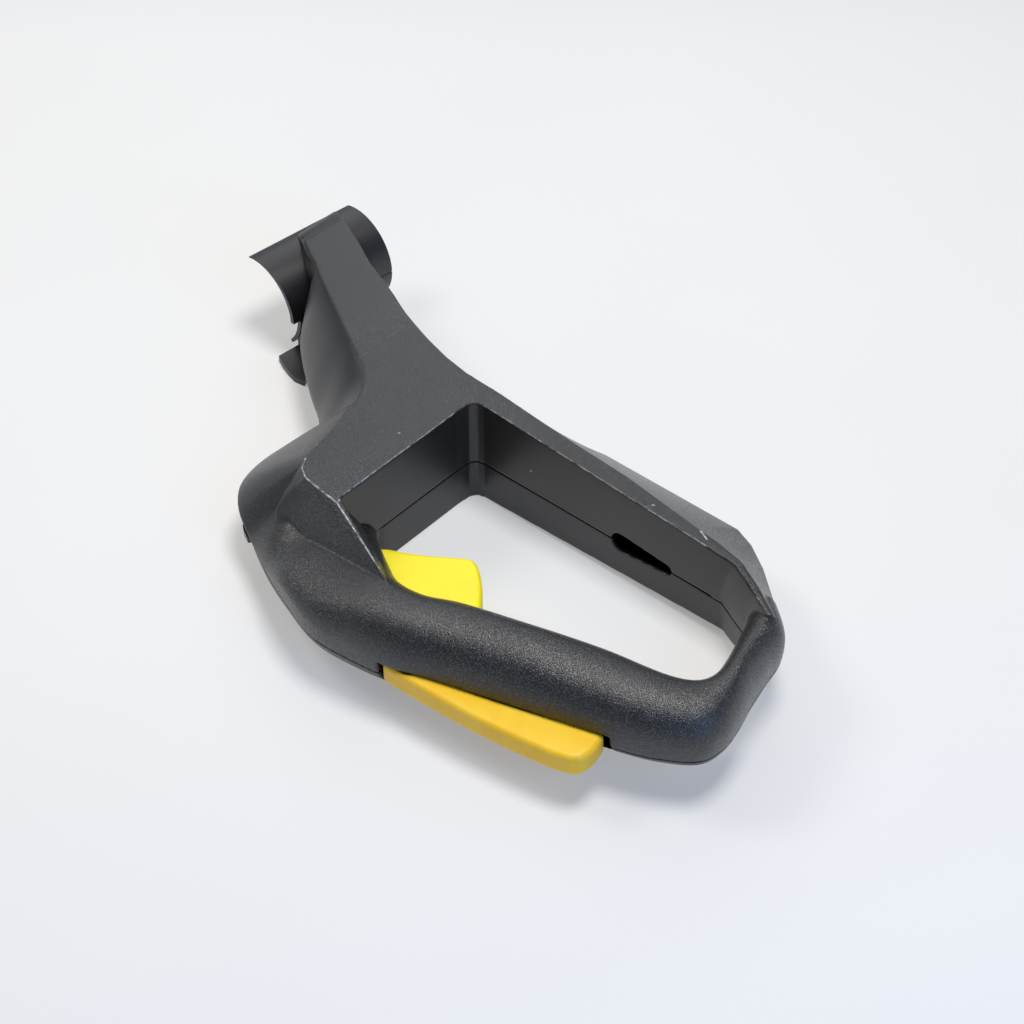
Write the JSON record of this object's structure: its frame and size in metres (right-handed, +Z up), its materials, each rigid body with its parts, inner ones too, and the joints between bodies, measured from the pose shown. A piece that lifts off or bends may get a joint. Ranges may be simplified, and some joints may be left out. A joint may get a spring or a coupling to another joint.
{
  "type": "hedge trimmer rear handle",
  "caption": "Moulded closed-loop rear handle for a hedge trimmer, with a saddle for the housing, throttle trigger and lock-out lever.",
  "frame": {"origin": "middle of the saddle's axis, in the plane where the two half shells meet", "axes": "+X along the far bar towards the rear corner, +Y away from the grip, +Z up as the handle lies on its cover shell"},
  "size_m": [0.3384, 0.2017, 0.053],
  "materials": {
    "shell": "spark-eroded dark grey polyamide",
    "trigger": "lemon yellow moulding",
    "lever": "warm yellow moulding, slightly smudged",
    "steel": "plain bright steel"
  },
  "bodies": {
    "housing": {"main_shell": "shell", "cover_shell": "shell", "trigger_pin": "steel", "lockout_pin": "steel", "shell_screws": "steel"},
    "trigger": {"throttle_trigger": "trigger", "trigger_spring": "steel"},
    "lockout": {"lockout_lever": "lever", "lockout_spring": "steel"}
  },
  "joints": [
    {"name": "trigger_pull", "type": "hinge", "parent": "housing", "child": "trigger", "pos_m": [0.157, -0.141, 0], "axis": [0, 0, 1], "range_deg": [-9, 0], "stiffness_Nm_per_rad": 0.06, "springref_deg": 22.92},
    {"name": "lockout_press", "type": "hinge", "parent": "housing", "child": "lockout", "pos_m": [0.212, -0.156, 0], "axis": [0, 0, 1], "range_deg": [0, 7], "stiffness_Nm_per_rad": 0.06, "springref_deg": -22.92}
  ]
}
